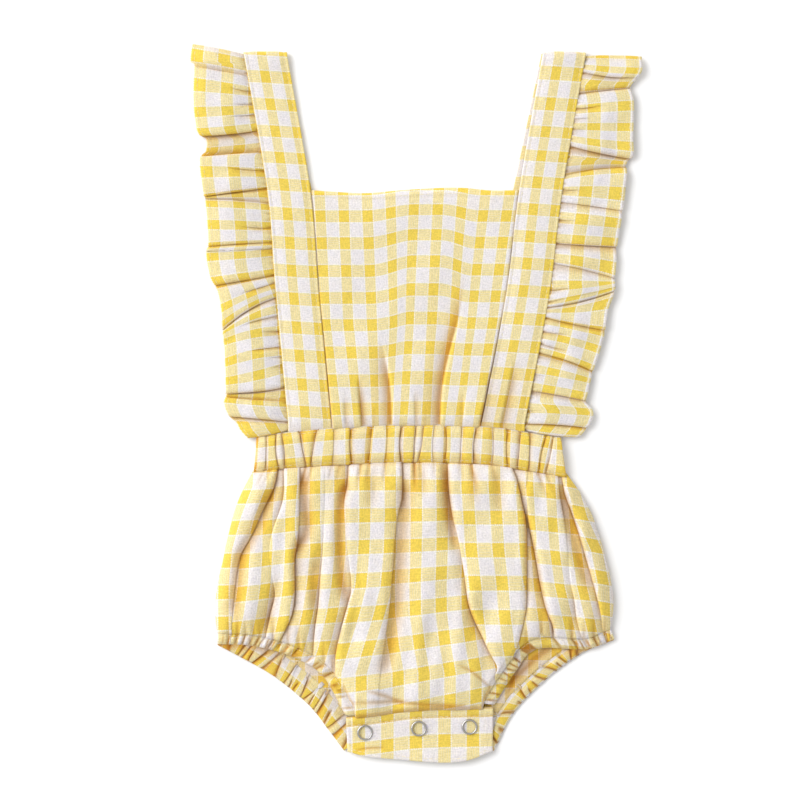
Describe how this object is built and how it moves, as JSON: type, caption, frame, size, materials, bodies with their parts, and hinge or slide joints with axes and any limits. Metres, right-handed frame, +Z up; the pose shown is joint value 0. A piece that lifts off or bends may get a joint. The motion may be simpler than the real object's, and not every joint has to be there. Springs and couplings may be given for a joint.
{
  "type": "baby romper",
  "caption": "Sleeveless baby romper laid flat: square bib, ruffled shoulder straps, elastic waist, bloomer bottom with elastic legs and snap crotch.",
  "frame": {"origin": "middle of the laid-out garment, on the surface it lies on", "axes": "+Y runs up the garment to the shoulder straps, +X to the right as it is seen from above, +Z up from the surface"},
  "size_m": [0.2694, 0.4307, 0.0072],
  "materials": {
    "cloth": "yellow and white woven gingham check, matt",
    "snap": "polished open ring of a prong snap"
  },
  "bodies": {
    "root": {"bib_front": "cloth", "strap_left": "cloth", "strap_right": "cloth", "ruffle_left": "cloth", "ruffle_right": "cloth", "waistband_front": "cloth", "waistband_back": "cloth", "bloomer_front": "cloth", "bloomer_back": "cloth", "leg_casing_front_left": "cloth", "leg_casing_front_right": "cloth", "leg_casing_back_left": "cloth", "leg_casing_back_right": "cloth", "crotch_band_front": "cloth", "crotch_band_back": "cloth", "snap_left": "snap", "snap_centre": "snap", "snap_right": "snap"}
  },
  "joints": []
}
